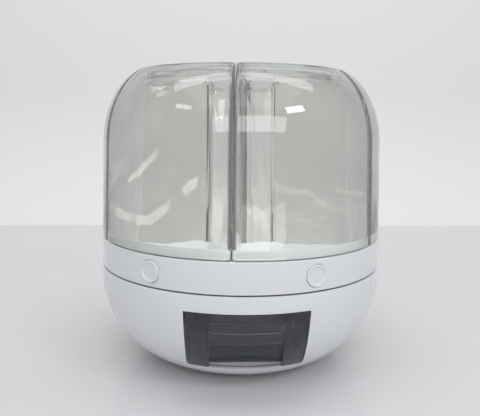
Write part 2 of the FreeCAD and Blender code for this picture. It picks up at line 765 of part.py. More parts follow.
def foot_outline(inset, r_in, clearance, z):
    """Level outline inside the foot of a bin's outer wall.

    Both end chords of the arc are run out to sides that are moved inward by inset, and the back
    stands between these sides at r_in.
    """
    half = math.radians(BIN_PITCH / 2.0)
    centre = (BIN_GAP + BIN_WALL) / math.sin(half)
    reach = wall_radius(z) - BIN_WALL - clearance - centre
    angles = [half * (2.0 * k / WALL_CHORDS - 1.0) for k in range(WALL_CHORDS + 1)]
    arc = [V(centre + reach * math.cos(a), reach * math.sin(a), z) for a in angles]
    run_out = (BIN_GAP + BIN_WALL - inset) / math.cos(half / WALL_CHORDS)
    first = (arc[0] - arc[1]).normalize() * run_out
    last = (arc[-1] - arc[-2]).normalize() * run_out
    arc[0] = arc[0] + first
    arc[-1] = arc[-1] + last
    apex = V(inset / math.sin(half), 0, z)
    depth = r_in - apex.x
    back = [apex + V(depth * math.cos(half), side * depth * math.sin(half), 0) for side in (1, -1)]
    return arc + back


def foot_room():
    """What is cut from a bin's foot, so that its sides and back end on the hopper's rim."""
    return stacked([foot_outline(-OVER, BIN_R_IN / 2.0, 0.0, z)
                    for z in (BIN_BOTTOM_Z - OVER, HOPPER_TOP_Z + SEAT)])


def clear_bin():
    """Wedge-shaped shell, open below, with a collar and a ledge for the lid in its mouth.

    Only the outer wall reaches down to the ring; the other walls stand on the hopper's rim.
    """
    outer = bin_body(0.0, BIN_BOTTOM_Z, BIN_TOP_Z, SHOULDER_BANDS, BIN_ROUND)
    inner = bin_body(BIN_WALL, BIN_BOTTOM_Z - OVER, BIN_TOP_Z - BIN_WALL,
                     SHOULDER_INNER_BANDS, 0.0)
    collar = mouth_prism(COLLAR_T, COLLAR_BOTTOM_Z, BIN_TOP_Z - OVER).common(outer)
    shell = outer.cut(inner).cut(foot_room()).fuse(collar)
    shell = shell.cut(mouth_prism(0.0, COLLAR_BOTTOM_Z + LEDGE_T, BIN_TOP_Z + OVER))
    return clean(shell.cut(mouth_prism(-LEDGE_W, COLLAR_BOTTOM_Z - OVER, BIN_TOP_Z + OVER)))


def lid():
    """Flat plate with a deep plug skirt, a seal groove and a sunk finger pull."""
    plug = mouth_prism(-LID_GAP, LID_SKIRT_BOTTOM_Z, LID_TOP_Z)
    inside = mouth_prism(-LID_GAP - LID_SKIRT_T, LID_SKIRT_BOTTOM_Z - OVER, LID_TOP_Z - LID_T)
    groove = mouth_prism(OVER, SEAL_Z, SEAL_Z + SEAL_H)
    groove = groove.cut(mouth_prism(-LID_GAP - SEAL_DEPTH, SEAL_Z - OVER, SEAL_Z + SEAL_H + OVER))
    whole = plug.cut(inside).cut(groove)
    for side in (-1, 1):
        middle = PULL_R + side * (PULL_BAR + PULL_W) / 2.0
        whole = whole.fuse(pull_well(middle, PULL_WALL)).cut(pull_well(middle, 0.0))
    return clean(whole)


def pull_well(middle, wall):
    """One of the two sunk wells that leave a finger bar between them."""
    half = PULL_W / 2.0 + wall
    reach = PULL_HALF + wall
    return box((middle - half, middle + half), (-reach, reach),
               (LID_TOP_Z - PULL_DEPTH - wall, LID_TOP_Z))


def lid_seal():
    """Soft ring in the skirt's groove, a little proud of the skirt."""
    ring = mouth_prism(-SEAL_GAP, SEAL_Z, SEAL_Z + SEAL_H)
    return ring.cut(mouth_prism(-LID_GAP - SEAL_DEPTH, SEAL_Z - OVER, SEAL_Z + SEAL_H + OVER))


def outlet_outline(grow, z):
    x0, x1 = OUTLET_R_IN - grow, OUTLET_R_OUT + grow
    half = OUTLET_HALF + grow
    return [V(x0, -half, z), V(x1, -half, z), V(x1, half, z), V(x0, half, z)]


def rim_outline(z):
    """Outer outline of the hopper's rim, flush with the bin's sides and back."""
    return foot_outline(BIN_GAP, BIN_R_IN, SEAT, z)


def rim_hollow(z):
    """Inner outline of the rim, flush with the bin's inner faces at its sides and back."""
    r_out = wall_radius(z) - BIN_WALL - SEAT - HOPPER_WALL
    return sector_outline(BIN_R_IN + BIN_WALL, r_out, BIN_GAP + BIN_WALL, z)


def funnel(outline, grow, foot_z, throat_z, top_z):
    """A wedge-shaped rim that narrows to the outlet."""
    foot = outline(foot_z)
    cone = transition(outlet_outline(grow, throat_z), foot)
    return cone.fuse(stacked([foot, outline(top_z)]))


def hopper():
    """Upright rim inside the bin's foot, a funnel to the outlet, and rails for the gate."""
    throat = prism(outlet_outline(HOPPER_WALL, THROAT_BOTTOM_Z),
                   V(0, 0, THROAT_TOP_Z - FUNNEL_DROP - THROAT_BOTTOM_Z))
    bore = prism(outlet_outline(0.0, THROAT_BOTTOM_Z - OVER),
                 V(0, 0, THROAT_TOP_Z - THROAT_BOTTOM_Z + OVER))
    outside = funnel(rim_outline, HOPPER_WALL, HOPPER_FOOT_Z, THROAT_TOP_Z - FUNNEL_DROP, HOPPER_TOP_Z)
    inside = funnel(rim_hollow, 0.0, HOPPER_FOOT_Z, THROAT_TOP_Z, HOPPER_TOP_Z + OVER)
    whole = fused([outside, throat, gate_rail(-1), gate_rail(1)])
    return clean(whole.cut(fused([inside, bore])))


def gate_rail(side):
    """A channel beside the outlet; the gate's edge slides in it."""
    inner = GATE_HALF - RAIL_LIP
    outer = GATE_HALF + RAIL_GAP + RAIL_T
    y = sorted((side * inner, side * outer))
    block = box((RAIL_R_IN, RAIL_R_OUT), y, (GATE_Z - RAIL_GAP - RAIL_T, RAIL_TOP_Z))
    slot_y = sorted((side * (inner - OVER), side * (GATE_HALF + RAIL_GAP)))
    slot = box((RAIL_R_IN - OVER, RAIL_R_OUT + OVER), slot_y,
               (GATE_Z - RAIL_GAP, GATE_Z + GATE_T + RAIL_GAP))
    return block.cut(slot)


def gate():
    """Flat shutter: closed over the outlet at rest, its window under the outlet when pushed in."""
    plate = box((GATE_R_IN, GATE_R_OUT), (-GATE_HALF, GATE_HALF), (GATE_Z, GATE_Z + GATE_T))
    first = OUTLET_R_OUT + GATE_LAP
    return plate.cut(box((first, first + OUTLET_R_OUT - OUTLET_R_IN), (-OUTLET_HALF, OUTLET_HALF),
                         (GATE_Z - OVER, GATE_Z + GATE_T + OVER)))


def button():
    """Dished cap with a raised rim, a flange behind the ring, a guide stem and a push blade."""
    cap = bar(BUTTON_R, FLANGE_X[1], BUTTON_FACE_X, BUTTON_Z, BORE_SIDES)
    dish = stacked([
        bar_outline(BUTTON_DISH_R, BUTTON_FACE_X - BUTTON_DISH, BUTTON_Z, BORE_SIDES),
        bar_outline(BUTTON_R - BUTTON_RIM, BUTTON_FACE_X, BUTTON_Z, BORE_SIDES),
    ])
    flange = bar(FLANGE_R, FLANGE_X[0], FLANGE_X[1], BUTTON_Z, FLANGE_SIDES)
    stem = bar(STEM_R, STEM_TIP_X, FLANGE_X[0], BUTTON_Z, STEM_SIDES)
    blade = box((BLADE_TIP_X, FLANGE_X[0]), (-BLADE_HALF, BLADE_HALF), BLADE_Z)
    return fused([cap.cut(dish), flange, stem, blade])


def button_springs():
    """The room that each wound spring takes round its stem, as a plain sleeve."""
    sleeve = bar(SPRING_R_OUT, BRACKET_X[1], FLANGE_X[0], BUTTON_Z, SPRING_SIDES)
    sleeve = sleeve.cut(bar(SPRING_R_IN, BRACKET_X[1], FLANGE_X[0], BUTTON_Z, SPRING_SIDES))
    return Part.makeCompound(around(sleeve, BINS, bin_azimuth(0)))


def main():
    os.makedirs("parts", exist_ok=True)
    for maker in (base_shell, rubber_feet, base_deck, deck_screws, bay_screws, cup_bay,
                  measuring_cup, drop_chute, lower_race, upper_race, roller_cage,
                  bearing_rollers, spindle, hub_washer, hub_nut, hub_cap, turntable_ring,
                  ring_screws, turntable_tray, button_springs):
        save(maker.__name__, maker())
    for name, maker in (("bin", clear_bin), ("hopper", hopper), ("lid", lid),
                        ("lid_seal", lid_seal), ("gate", gate), ("button", button)):
        shape = maker()
        for i in range(BINS):
            save(name + "_" + str(i + 1), at_azimuth(shape, bin_azimuth(i)))


main()
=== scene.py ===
import json
import math

import bmesh
import bpy
from mathutils import Matrix, Vector


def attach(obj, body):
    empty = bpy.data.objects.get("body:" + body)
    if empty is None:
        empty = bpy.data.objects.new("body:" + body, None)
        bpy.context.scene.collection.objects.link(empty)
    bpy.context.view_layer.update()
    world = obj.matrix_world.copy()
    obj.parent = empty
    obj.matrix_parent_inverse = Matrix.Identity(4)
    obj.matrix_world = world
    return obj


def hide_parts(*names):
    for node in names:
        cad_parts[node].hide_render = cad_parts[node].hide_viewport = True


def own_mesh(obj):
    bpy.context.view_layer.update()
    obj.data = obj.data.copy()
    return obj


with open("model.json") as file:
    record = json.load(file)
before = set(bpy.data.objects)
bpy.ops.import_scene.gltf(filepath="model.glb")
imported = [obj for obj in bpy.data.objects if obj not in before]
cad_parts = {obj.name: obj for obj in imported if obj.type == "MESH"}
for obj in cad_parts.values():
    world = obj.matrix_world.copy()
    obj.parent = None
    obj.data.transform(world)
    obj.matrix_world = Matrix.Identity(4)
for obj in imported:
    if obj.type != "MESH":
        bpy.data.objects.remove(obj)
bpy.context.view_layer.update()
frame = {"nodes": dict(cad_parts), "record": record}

# Sizes are in millimetres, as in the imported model, and a piece is brought to metres when it is
# finished. GAP is the height of the seam between base and ring, and most heights start from it.
MM = 0.001
GAP = 105.5
MERGE = 1e-4
ROUND_STEPS = 168
ROUND_SMALL = 72
SMOOTH = 32.0

# Angles in degrees, counted from the front: the partition nearest to it, and one bin.
BINS = 6
PARTITION_AZ = -5.75
BIN_PITCH = 60.0
HALF_PITCH = math.radians(BIN_PITCH / 2.0)

# The base's side is an ellipse, BOWL_REACH by BOWL_DEPTH, round a circle of radius BOWL_MIDDLE.
BOWL_MIDDLE = 70.0
BOWL_REACH = 81.5
BOWL_DEPTH = 93.5
BOWL_CENTRE = GAP - 8.0
BOWL_FOOT = 4.5
BOWL_WALL = 3.0
BOWL_STEPS = 44
BOWL_INNER_STEPS = 30
FRONT = -160.0

# The window's slanting sides are given by half widths at its top and at its lower edge.
WINDOW_TOP = GAP - 16.0
WINDOW_LOW = GAP - 78.0
WINDOW_TOP_HALF = 57.0
WINDOW_LOW_HALF = 55.0
WINDOW_SLOPE = 2.0 / 62.0
WINDOW_DEPTH = 72.0
WINDOW_TOP_ROUND = 1.2
WINDOW_LOW_ROUND = 3.5

CUP_GAP = 1.2
CUP_WALL = 2.0
CUP_FRONT_WALL = 2.6
CUP_TOP = GAP - 16.8
CUP_RIM = GAP - 24.0
CUP_FLOOR = GAP - 77.95
CUP_BACK = -50.0
CUP_ROUND = 8.0
POCKET_HALF = 34.0
POCKET_FRONT = -165.0
POCKET_BACK = -109.0
POCKET_ROUND = 6.0
GRIP_LOW = GAP - 47.0
GRIP_TOP = GAP - 36.0

RING_R = 150.0
RING_WALL = 3.0
RING_LOW = GAP + 0.6
RING_TOP = GAP + 30.2
BUTTON_Z = GAP + 14.7
BUTTON_FACE = 151.0

# The bins' outer walls lean in by BIN_LEAN up to the shoulder, which is a quarter of an ellipse.
BIN_FOOT = GAP + 30.25
BIN_TOP = GAP + 200.2
BIN_WALL = 2.6
BIN_GAP = 0.7
BIN_BACK = 38.0
BIN_LEAN = 3.0
SHOULDER_Z = GAP + 125.0
SHOULDER_MIDDLE = 92.0
SHOULDER_REACH = 55.0
SHOULDER_RISE = 80.0

# The mouth in a bin's shoulder, which the lid's plug fills: its distances from the bin's sides
# and from the axis.
MOUTH_SIDE = 4.0
MOUTH_OUTER = 108.8
MOUTH_INNER = 42.0
MOUTH_ROUND = 9.0
COLLAR_LOW = GAP + 188.6
LID_FOOT = GAP + 190.25
LID_TOP = GAP + 200.8
LID_GAP = 0.35
LID_WALL = 2.0
LID_PLATE = 2.4
SEAL_LOW = GAP + 193.6
SEAL_TOP = GAP + 196.0
SEAL_DEPTH = 1.25

# The hopper's rim stands inside the foot of its bin, and its outlet over the gate.
RIM_TOP = GAP + 40.2
RIM_FOOT = GAP + 31.6
OUTLET_TOP = GAP + 14.6
OUTLET_LOW = GAP + 10.4
LOOP_STEPS = 24
SIDE_STEPS = 8


# ---------------------------------------------------------------- modelling by hand

def let_go():
    """Back to object mode, with nothing selected."""
    if bpy.context.object and bpy.context.object.mode != "OBJECT":
        bpy.ops.object.mode_set(mode="OBJECT")
    bpy.ops.object.select_all(action="DESELECT")


def take(piece):
    """Select one piece alone."""
    let_go()
    piece.select_set(True)
    bpy.context.view_layer.objects.active = piece


def edit(piece):
    """Open a piece for editing, with all of it selected."""
    take(piece)
    bpy.ops.object.mode_set(mode="EDIT")
    bpy.ops.mesh.select_all(action="SELECT")


def trace(name, points, close=True):
    """Edges drawn from point to point by extruding one corner, closed to a face if asked."""
    let_go()
    bpy.ops.mesh.primitive_plane_add(size=1.0, location=(0, 0, 0))
    piece = bpy.context.active_object
    piece.name = name
    bpy.ops.object.mode_set(mode="EDIT")
    bpy.ops.mesh.merge(type="CENTER")
    bpy.ops.transform.translate(value=points[0])
    for here, there in zip(points, points[1:]):
        step = Vector(there) - Vector(here)
        bpy.ops.mesh.extrude_region_move(TRANSFORM_OT_translate={"value": step})
    if close:
        bpy.ops.mesh.select_all(action="SELECT")
        bpy.ops.mesh.edge_face_add()
    return piece


def ring_of_edges(piece):
    """Drop the face inside a traced outline and keep its closed line."""
    edit(piece)
    bpy.ops.mesh.delete(type="ONLY_FACE")
    bpy.ops.mesh.select_all(action="SELECT")


def tidy_shell(piece):
    """Merge corners that coincide and turn every face outward."""
    edit(piece)
    bpy.ops.mesh.remove_doubles(threshold=MERGE)
    bpy.ops.mesh.normals_make_consistent(inside=False)
    bpy.ops.object.mode_set(mode="OBJECT")


def revolve(name, profile, steps=ROUND_STEPS, centre=(0, 0, 0), axis=(0, 0, 1), closed=False):
    """A body swept all round by a profile, which runs from axis to axis or closes on itself."""
    piece = trace(name, profile, close=closed)
    if closed:
        ring_of_edges(piece)
    else:
        bpy.ops.mesh.select_all(action="SELECT")
    bpy.ops.mesh.spin(steps=steps, angle=math.tau, center=centre, axis=axis)
    tidy_shell(piece)
    return piece


def block(name, outline, along):
    """A body made by extruding a traced outline."""
    piece = trace(name, outline)
    bpy.ops.mesh.extrude_region_move(TRANSFORM_OT_translate={"value": along})
    tidy_shell(piece)
    return piece


def cuboid(name, x, y, z):
    """A block between two limits on each axis."""
    return block(name, [(x[0], y[0], z[0]), (x[1], y[0], z[0]), (x[1], y[1], z[0]),
                        (x[0], y[1], z[0])], (0, 0, z[1] - z[0]))


def apply_modifier(piece, kind, **values):
    modifier = piece.modifiers.new(kind.lower(), kind)
    for key, value in values.items():
        setattr(modifier, key, value)
    take(piece)
    bpy.ops.object.modifier_apply(modifier=modifier.name)


def join_with(piece, tool, way, keep=False):
    """Cut, add or intersect a body with another, which is then thrown away unless it is kept."""
    apply_modifier(piece, "BOOLEAN", operation=way, solver="EXACT", object=tool)
    if not keep:
        bpy.data.objects.remove(tool)
    return piece


def cut(piece, tool):
    return join_with(piece, tool, "DIFFERENCE")


def add(piece, tool):
    return join_with(piece, tool, "UNION")


def within(piece, tool, keep=False):
    return join_with(piece, tool, "INTERSECT", keep)


def ease_edges(piece, width, segments, angle):
    """Round every edge sharper than an angle."""
    apply_modifier(piece, "BEVEL", width=width, segments=segments, limit_method="ANGLE",
                   angle_limit=math.radians(angle), use_clamp_overlap=True,
                   miter_outer="MITER_ARC")


def round_edges(piece, wanted, radius, segments):
    """Round the edges that a test picks out."""
    edit(piece)
    bpy.ops.mesh.select_all(action="DESELECT")
    mesh = bmesh.from_edit_mesh(piece.data)
    for edge in mesh.edges:
        if wanted(edge):
            edge.select = True
    bmesh.update_edit_mesh(piece.data)
    bpy.ops.mesh.bevel(offset=radius, segments=segments, affect="EDGES")
    bpy.ops.object.mode_set(mode="OBJECT")


def gather(pieces, name):
    """Join pieces into one object."""
    let_go()
    for piece in pieces:
        piece.select_set(True)
    bpy.context.view_layer.objects.active = pieces[0]
    bpy.ops.object.join()
    pieces[0].name = name
    return pieces[0]


def discard(piece):
    let_go()
    bpy.data.objects.remove(piece)


def bin_azimuth(i):
    """The direction of a bin's middle, in degrees from the front."""
    return PARTITION_AZ + BIN_PITCH * (i + 0.5)


def turned_copy(piece, name, i):
    """A copy with its own mesh, turned from +X to the direction of a bin's middle."""
    take(piece)
    bpy.ops.object.duplicate()
    copy = bpy.context.active_object
    copy.name = name
    copy.rotation_euler = (0, 0, math.radians(bin_azimuth(i) - 90.0))
    bpy.ops.object.transform_apply(location=True, rotation=True, scale=True)
    return copy


def finish_piece(piece, body, material, nodes=(), angle=SMOOTH):
    """Merged where corners coincide, in metres, shaded, in its material, riding on its body."""
    edit(piece)
    bpy.ops.mesh.remove_doubles(threshold=MERGE)
    bpy.ops.object.mode_set(mode="OBJECT")
    piece.scale = (MM, MM, MM)
    bpy.ops.object.transform_apply(location=True, rotation=True, scale=True)
    bpy.ops.object.shade_smooth_by_angle(angle=math.radians(angle))
    piece.data.materials.clear()
    piece.data.materials.append(MATERIALS[material])
    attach(piece, body)
    if nodes:
        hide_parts(*nodes)


def copy_for_bin(i, piece, name, body, material, node, angle=SMOOTH):
    """One bin's copy of a piece, finished. Name, body and node get the bin's number."""
    name, body, node = ["%s_%d" % (word, i + 1) for word in (name, body, node)]
    finish_piece(turned_copy(piece, name, i), body, material, [node], angle)


def rounded(corners, steps=8):
    """Points of a closed outline whose corners, given with a radius each, are rounded."""
    points = []
    for k, (corner, radius) in enumerate(corners):
        corner = Vector(corner)
        if radius <= 0.0:
            points.append(corner)
            continue
        back = (Vector(corners[k - 1][0]) - corner).normalized()
        ahead = (Vector(corners[(k + 1) % len(corners)][0]) - corner).normalized()
        half = back.angle(ahead) / 2.0
        centre = corner + (back + ahead).normalized() * (radius / math.sin(half))
        start = corner + back * (radius / math.tan(half)) - centre
        end = corner + ahead * (radius / math.tan(half)) - centre
        sweep = math.pi - 2.0 * half
        for step in range(steps + 1):
            turn = sweep * step / steps
            share = start * math.sin(sweep - turn) + end * math.sin(turn)
            points.append(centre + share / math.sin(sweep))
    return points


# ---------------------------------------------------------------- shared finishes

MATERIALS = {}


def measured(nodes, links, operation, *values):
    """One step of arithmetic, on sockets and numbers."""
    step = nodes.new("ShaderNodeMath")
    step.operation = operation
    for socket, value in zip(step.inputs, values):
        if isinstance(value, float):
            socket.default_value = value
        else:
            links.new(value, socket)
    return step.outputs[0]


def blended(nodes, links, share, first, second):
    """A mix of two colours, each given as a socket or as three numbers."""
    step = nodes.new("ShaderNodeMixRGB")
    links.new(share, step.inputs["Fac"])
    for socket, colour in ((step.inputs["Color1"], first), (step.inputs["Color2"], second)):
        if isinstance(colour, tuple):
            socket.default_value = (*colour, 1.0)
        else:
            links.new(colour, socket)
    return step.outputs["Color"]


def clouded(nodes, links, place, size, detail):
    """Soft noise over the object, of a size that a socket gives."""
    noise = nodes.new("ShaderNodeTexNoise")
    noise.inputs["Detail"].default_value = detail
    links.new(place, noise.inputs["Vector"])
    links.new(size, noise.inputs["Scale"])
    return noise.outputs["Fac"]


def make_group(name, inputs, outputs):
    group = bpy.data.node_groups.new(name, "ShaderNodeTree")
    for socket, kind, value in inputs:
        made = group.interface.new_socket(name=socket, in_out="INPUT", socket_type=kind)
        made.default_value = value
    for socket, kind in outputs:
        group.interface.new_socket(name=socket, in_out="OUTPUT", socket_type=kind)
    return group, group.nodes.new("NodeGroupInput"), group.nodes.new("NodeGroupOutput")


def moulded_surface():
    """Faint unevenness of moulded plastic: a colour, a roughness and a height for a bump."""
    group, given, made = make_group(
        "Moulded surface",
        [("Colour", "NodeSocketColor", (0.8, 0.8, 0.8, 1.0)),
         ("Shade", "NodeSocketFloat", 0.03),
         ("Roughness", "NodeSocketFloat", 0.2),
         ("Roughness spread", "NodeSocketFloat", 0.05),
         ("Patch size", "NodeSocketFloat", 9.0),
         ("Grain size", "NodeSocketFloat", 900.0)],
        [("Colour", "NodeSocketColor"),
         ("Roughness", "NodeSocketFloat"),
         ("Height", "NodeSocketFloat")])
    nodes, links = group.nodes, group.links
    place = nodes.new("ShaderNodeTexCoord").outputs["Object"]
    patches = clouded(nodes, links, place, given.outputs["Patch size"], 3.0)
    grain = clouded(nodes, links, place, given.outputs["Grain size"], 2.0)
    centred = measured(nodes, links, "SUBTRACT", patches, 0.5)
    tone = measured(nodes, links, "MULTIPLY_ADD", centred, given.outputs["Shade"], 1.0)
    shade = nodes.new("ShaderNodeVectorMath")
    shade.operation = "SCALE"
    links.new(given.outputs["Colour"], shade.inputs[0])
    links.new(tone, shade.inputs["Scale"])
    links.new(shade.outputs[0], made.inputs["Colour"])
    rough = measured(nodes, links, "MULTIPLY_ADD", centred, given.outputs["Roughness spread"],
                     given.outputs["Roughness"])
    links.new(rough, made.inputs["Roughness"])
    links.new(grain, made.inputs["Height"])
    return group


MOULDED = moulded_surface()
BUMP_DEPTH = 0.0002


def new_material(name):
    material = bpy.data.materials.new(name)
    material.use_nodes = True
    MATERIALS[name] = material
    tree = material.node_tree
    return tree.nodes, tree.links, tree.nodes["Principled BSDF"]


def moulded(name, colour, shade, roughness, spread, patch, grain, bump, **sockets):
    """An opaque plastic or rubber with the moulded surface's unevenness.

    Shade and spread say how far its tone and its roughness vary, and patch and grain how fine the
    two noises are.
    """
    nodes, links, shader = new_material(name)
    surface = nodes.new("ShaderNodeGroup")
    surface.node_tree = MOULDED
    for key, value in (("Colour", (*colour, 1.0)), ("Shade", shade), ("Roughness", roughness),
                       ("Roughness spread", spread), ("Patch size", patch),
                       ("Grain size", grain)):
        surface.inputs[key].default_value = value
    links.new(surface.outputs["Colour"], shader.inputs["Base Color"])
    links.new(surface.outputs["Roughness"], shader.inputs["Roughness"])
    relief = nodes.new("ShaderNodeBump")
    relief.inputs["Strength"].default_value = bump
    relief.inputs["Distance"].default_value = BUMP_DEPTH
    links.new(surface.outputs["Height"], relief.inputs["Height"])
    links.new(relief.outputs["Normal"], shader.inputs["Normal"])
    for key, value in sockets.items():
        shader.inputs[key.replace("_", " ")].default_value = value
    return nodes, links, shader


PLASTIC_IOR = 1.46
DEEP = 8.0
TURNED_BACK = 3.0
DIMMED = (0.26, 0.26, 0.25)


def see_through(name, colour, painted_edge_shade, shade, roughness, shadow, bump):
    """Clear plastic with painted shade: where it is seen along its surface, its colour turns to
    the darker edge colour.

    Light that only casts a shadow passes straight through with a tint. Light that has been turned
    back many times inside a wall passes straight through too and is dimmed once, so that the
    wall's edges look grey and not black.
    """
    nodes, links, shader = moulded(name, colour, shade, roughness, spread=0.02, patch=14.0,
                                   grain=260.0, bump=bump, Transmission_Weight=1.0,
                                   IOR=PLASTIC_IOR)
    surface = shader.inputs["Base Color"].links[0].from_socket
    along = nodes.new("ShaderNodeLayerWeight")
    along.inputs["Blend"].default_value = 0.5
    # Painted shade: the colour turns towards the dark edge colour the more the surface is seen
    # along its length.
    edge = measured(nodes, links, "POWER", along.outputs["Facing"], 2.0)
    links.new(blended(nodes, links, edge, surface, painted_edge_shade), shader.inputs["Base Color"])
    path = nodes.new("ShaderNodeLightPath")
    deep = measured(nodes, links, "GREATER_THAN", path.outputs["Ray Depth"], DEEP)
    turned = measured(nodes, links, "GREATER_THAN", path.outputs["Glossy Depth"], TURNED_BACK)
    first = measured(nodes, links, "LESS_THAN", path.outputs["Transparent Depth"], 0.5)
    dimmed = measured(nodes, links, "MULTIPLY", turned, first)
    trapped = measured(nodes, links, "MAXIMUM", deep, turned)
    straight = measured(nodes, links, "MAXIMUM", path.outputs["Is Shadow Ray"], trapped)
    cast = blended(nodes, links, path.outputs["Is Shadow Ray"], (1.0, 1.0, 1.0), shadow)
    passing = nodes.new("ShaderNodeBsdfTransparent")
    links.new(blended(nodes, links, dimmed, cast, DIMMED), passing.inputs["Color"])
    mix = nodes.new("ShaderNodeMixShader")
    links.new(straight, mix.inputs["Fac"])
    links.new(shader.outputs["BSDF"], mix.inputs[1])
    links.new(passing.outputs["BSDF"], mix.inputs[2])
    links.new(mix.outputs["Shader"], nodes["Material Output"].inputs["Surface"])


def brushed(name, colour, roughness):
    """Bright metal with fine lines across it."""
    nodes, links, shader = new_material(name)
    place = nodes.new("ShaderNodeTexCoord")
    stretch = nodes.new("ShaderNodeMapping")
    stretch.inputs["Scale"].default_value = (1400.0, 1400.0, 60.0)
    lines = nodes.new("ShaderNodeTexNoise")
    lines.inputs["Scale"].default_value = 1.0
    links.new(place.outputs["Object"], stretch.inputs["Vector"])
    links.new(stretch.outputs["Vector"], lines.inputs["Vector"])
    tone = nodes.new("ShaderNodeMapRange")
    tone.inputs["To Min"].default_value = roughness - 0.08
    tone.inputs["To Max"].default_value = roughness + 0.1
    links.new(lines.outputs["Fac"], tone.inputs["Value"])
    links.new(tone.outputs["Result"], shader.inputs["Roughness"])
    ramp = nodes.new("ShaderNodeValToRGB")
    ramp.color_ramp.elements[0].color = (*[c * 0.86 for c in colour], 1.0)
    ramp.color_ramp.elements[1].color = (*colour, 1.0)
    links.new(lines.outputs["Fac"], ramp.inputs["Fac"])
    links.new(ramp.outputs["Color"], shader.inputs["Base Color"])
    shader.inputs["Metallic"].default_value = 1.0


moulded("white", (0.80, 0.815, 0.83), shade=0.02, roughness=0.14, spread=0.05,
        patch=7.0, grain=500.0, bump=0.03, Coat_Weight=0.5)
moulded("satin_white", (0.84, 0.85, 0.86), shade=0.05, roughness=0.42, spread=0.1,
        patch=20.0, grain=1500.0, bump=0.15)
# Clear and smoke plastics get painted shade at their edges where seen along the surface, in the
# darker edge colours given here.
see_through("clear", (0.925, 0.93, 0.915), painted_edge_shade=(0.36, 0.37, 0.35), shade=0.004,
            roughness=0.02, shadow=(0.95, 0.955, 0.95), bump=0.0)
see_through("smoke", (0.50, 0.51, 0.545), painted_edge_shade=(0.10, 0.10, 0.115), shade=0.05,
            roughness=0.04, shadow=(0.82, 0.83, 0.86), bump=0.05)
moulded("seal", (0.78, 0.79, 0.79), shade=0.06, roughness=0.4, spread=0.08,
        patch=30.0, grain=1200.0, bump=0.1)
moulded("grey_rubber", (0.16, 0.16, 0.165), shade=0.15, roughness=0.75, spread=0.1,
        patch=40.0, grain=1600.0, bump=0.4)
moulded("nylon", (0.62, 0.6, 0.54), shade=0.05, roughness=0.45, spread=0.08,
        patch=30.0, grain=900.0, bump=0.15)
brushed("steel", (0.60, 0.60, 0.60), roughness=0.3)
moulded("counter", (0.68, 0.68, 0.69), shade=0.02, roughness=0.14, spread=0.03,
        patch=3.0, grain=300.0, bump=0.0)
moulded("backdrop", (0.86, 0.86, 0.86), shade=0.01, roughness=0.9, spread=0.03,
        patch=3.0, grain=300.0, bump=0.0)


# ---------------------------------------------------------------- base

def bowl_curve(inward, low, high, steps):
    """Points up the bowl's side, at even steps of its ellipse."""
    depth = BOWL_DEPTH - inward
    first = math.asin((low - BOWL_CENTRE) / depth)
    last = math.asin((high - BOWL_CENTRE) / depth)
    points = []
    for k in range(steps + 1):
        turn = first + (last - first) * k / steps
        points.append((BOWL_MIDDLE + (BOWL_REACH - inward) * math.cos(turn), 0.0,
                       BOWL_CENTRE + depth * math.sin(turn)))
    return points


def full_bowl(name, inward):
    """The bowl as a solid up to the seam, moved in all round."""
    side = bowl_curve(inward, BOWL_FOOT + inward, GAP, BOWL_STEPS)
    return revolve(name, [(0.0, 0.0, side[0][2])] + side + [(0.0, 0.0, GAP)])


def window_outline(inset, top, low, low_round):
    """The window's outline, drawn in by inset, on a plane in front of the base."""
    top_half = WINDOW_TOP_HALF + WINDOW_SLOPE * (top - WINDOW_TOP) - inset
    low_half = WINDOW_LOW_HALF + WINDOW_SLOPE * (low - WINDOW_LOW) - inset
    return rounded([((-top_half, FRONT, top), WINDOW_TOP_ROUND),
                    ((top_half, FRONT, top), WINDOW_TOP_ROUND),
                    ((low_half, FRONT, low), low_round), ((-low_half, FRONT, low), low_round)])


def make_base():
    top, floor = GAP - 0.6, BOWL_FOOT + BOWL_WALL
    outer = bowl_curve(0.0, BOWL_FOOT, top, BOWL_STEPS)
    inner = bowl_curve(BOWL_WALL, floor, top, BOWL_INNER_STEPS)
    shell = revolve("base_bowl",
                    [(0.0, 0.0, BOWL_FOOT)] + outer + inner[::-1] + [(0.0, 0.0, floor)])
    outline = window_outline(0.0, WINDOW_TOP, WINDOW_LOW, WINDOW_LOW_ROUND)
    cut(shell, block("window", outline, (0, WINDOW_DEPTH, 0)))
    ease_edges(shell, 0.7, 3, 38.0)
    finish_piece(shell, "base", "white", ["base_shell"])


def make_feet():
    pad_r, steps = 9.0, 48
    reach = 66.0 * math.sqrt(0.5)
    profile = rounded([((0, 0, 0), 0), ((pad_r, 0, 0), 1.2), ((pad_r, 0, BOWL_FOOT), 0)])
    feet = []
    for x in (-reach, reach):
        for y in (-reach, reach):
            foot = revolve("foot", profile, steps)
            edit(foot)
            bpy.ops.mesh.fill_holes(sides=0)
            bpy.ops.mesh.select_all(action="SELECT")
            bpy.ops.transform.translate(value=(x, y, 0))
            tidy_shell(foot)
            feet.append(foot)
    finish_piece(gather(feet, "foot_pads"), "base", "grey_rubber", ["rubber_feet"])


# ---------------------------------------------------------------- measuring cup

def cup_plan(name, inset, back, low, top, back_round):
    """The cup's block: the window's outline run back, with rounded rear corners."""
    outline = window_outline(inset, top, low, max(WINDOW_LOW_ROUND - inset, 1.5))
    body = block(name, outline, (0, back - FRONT, 0))

    def rear_corner(edge):
        a, b = edge.verts[0].co, edge.verts[1].co
        return abs(a.y - back) < 0.01 and abs(b.y - back) < 0.01 and abs(a.z - b.z) > 20.0

    round_edges(body, rear_corner, back_round, 8)
    return body


def pocket_block(name, grow, back, top, top_round):
    """The finger pocket's block, from below the cup's floor, with rounded upper corners."""
    reach, low = POCKET_HALF + grow, CUP_FLOOR - 5.0
    outline = rounded([((-reach, POCKET_FRONT, low), 0), ((reach, POCKET_FRONT, low), 0),
                       ((reach, POCKET_FRONT, top), top_round),
                       ((-reach, POCKET_FRONT, top), top_round)])
    return block(name, outline, (0, back - POCKET_FRONT, 0))


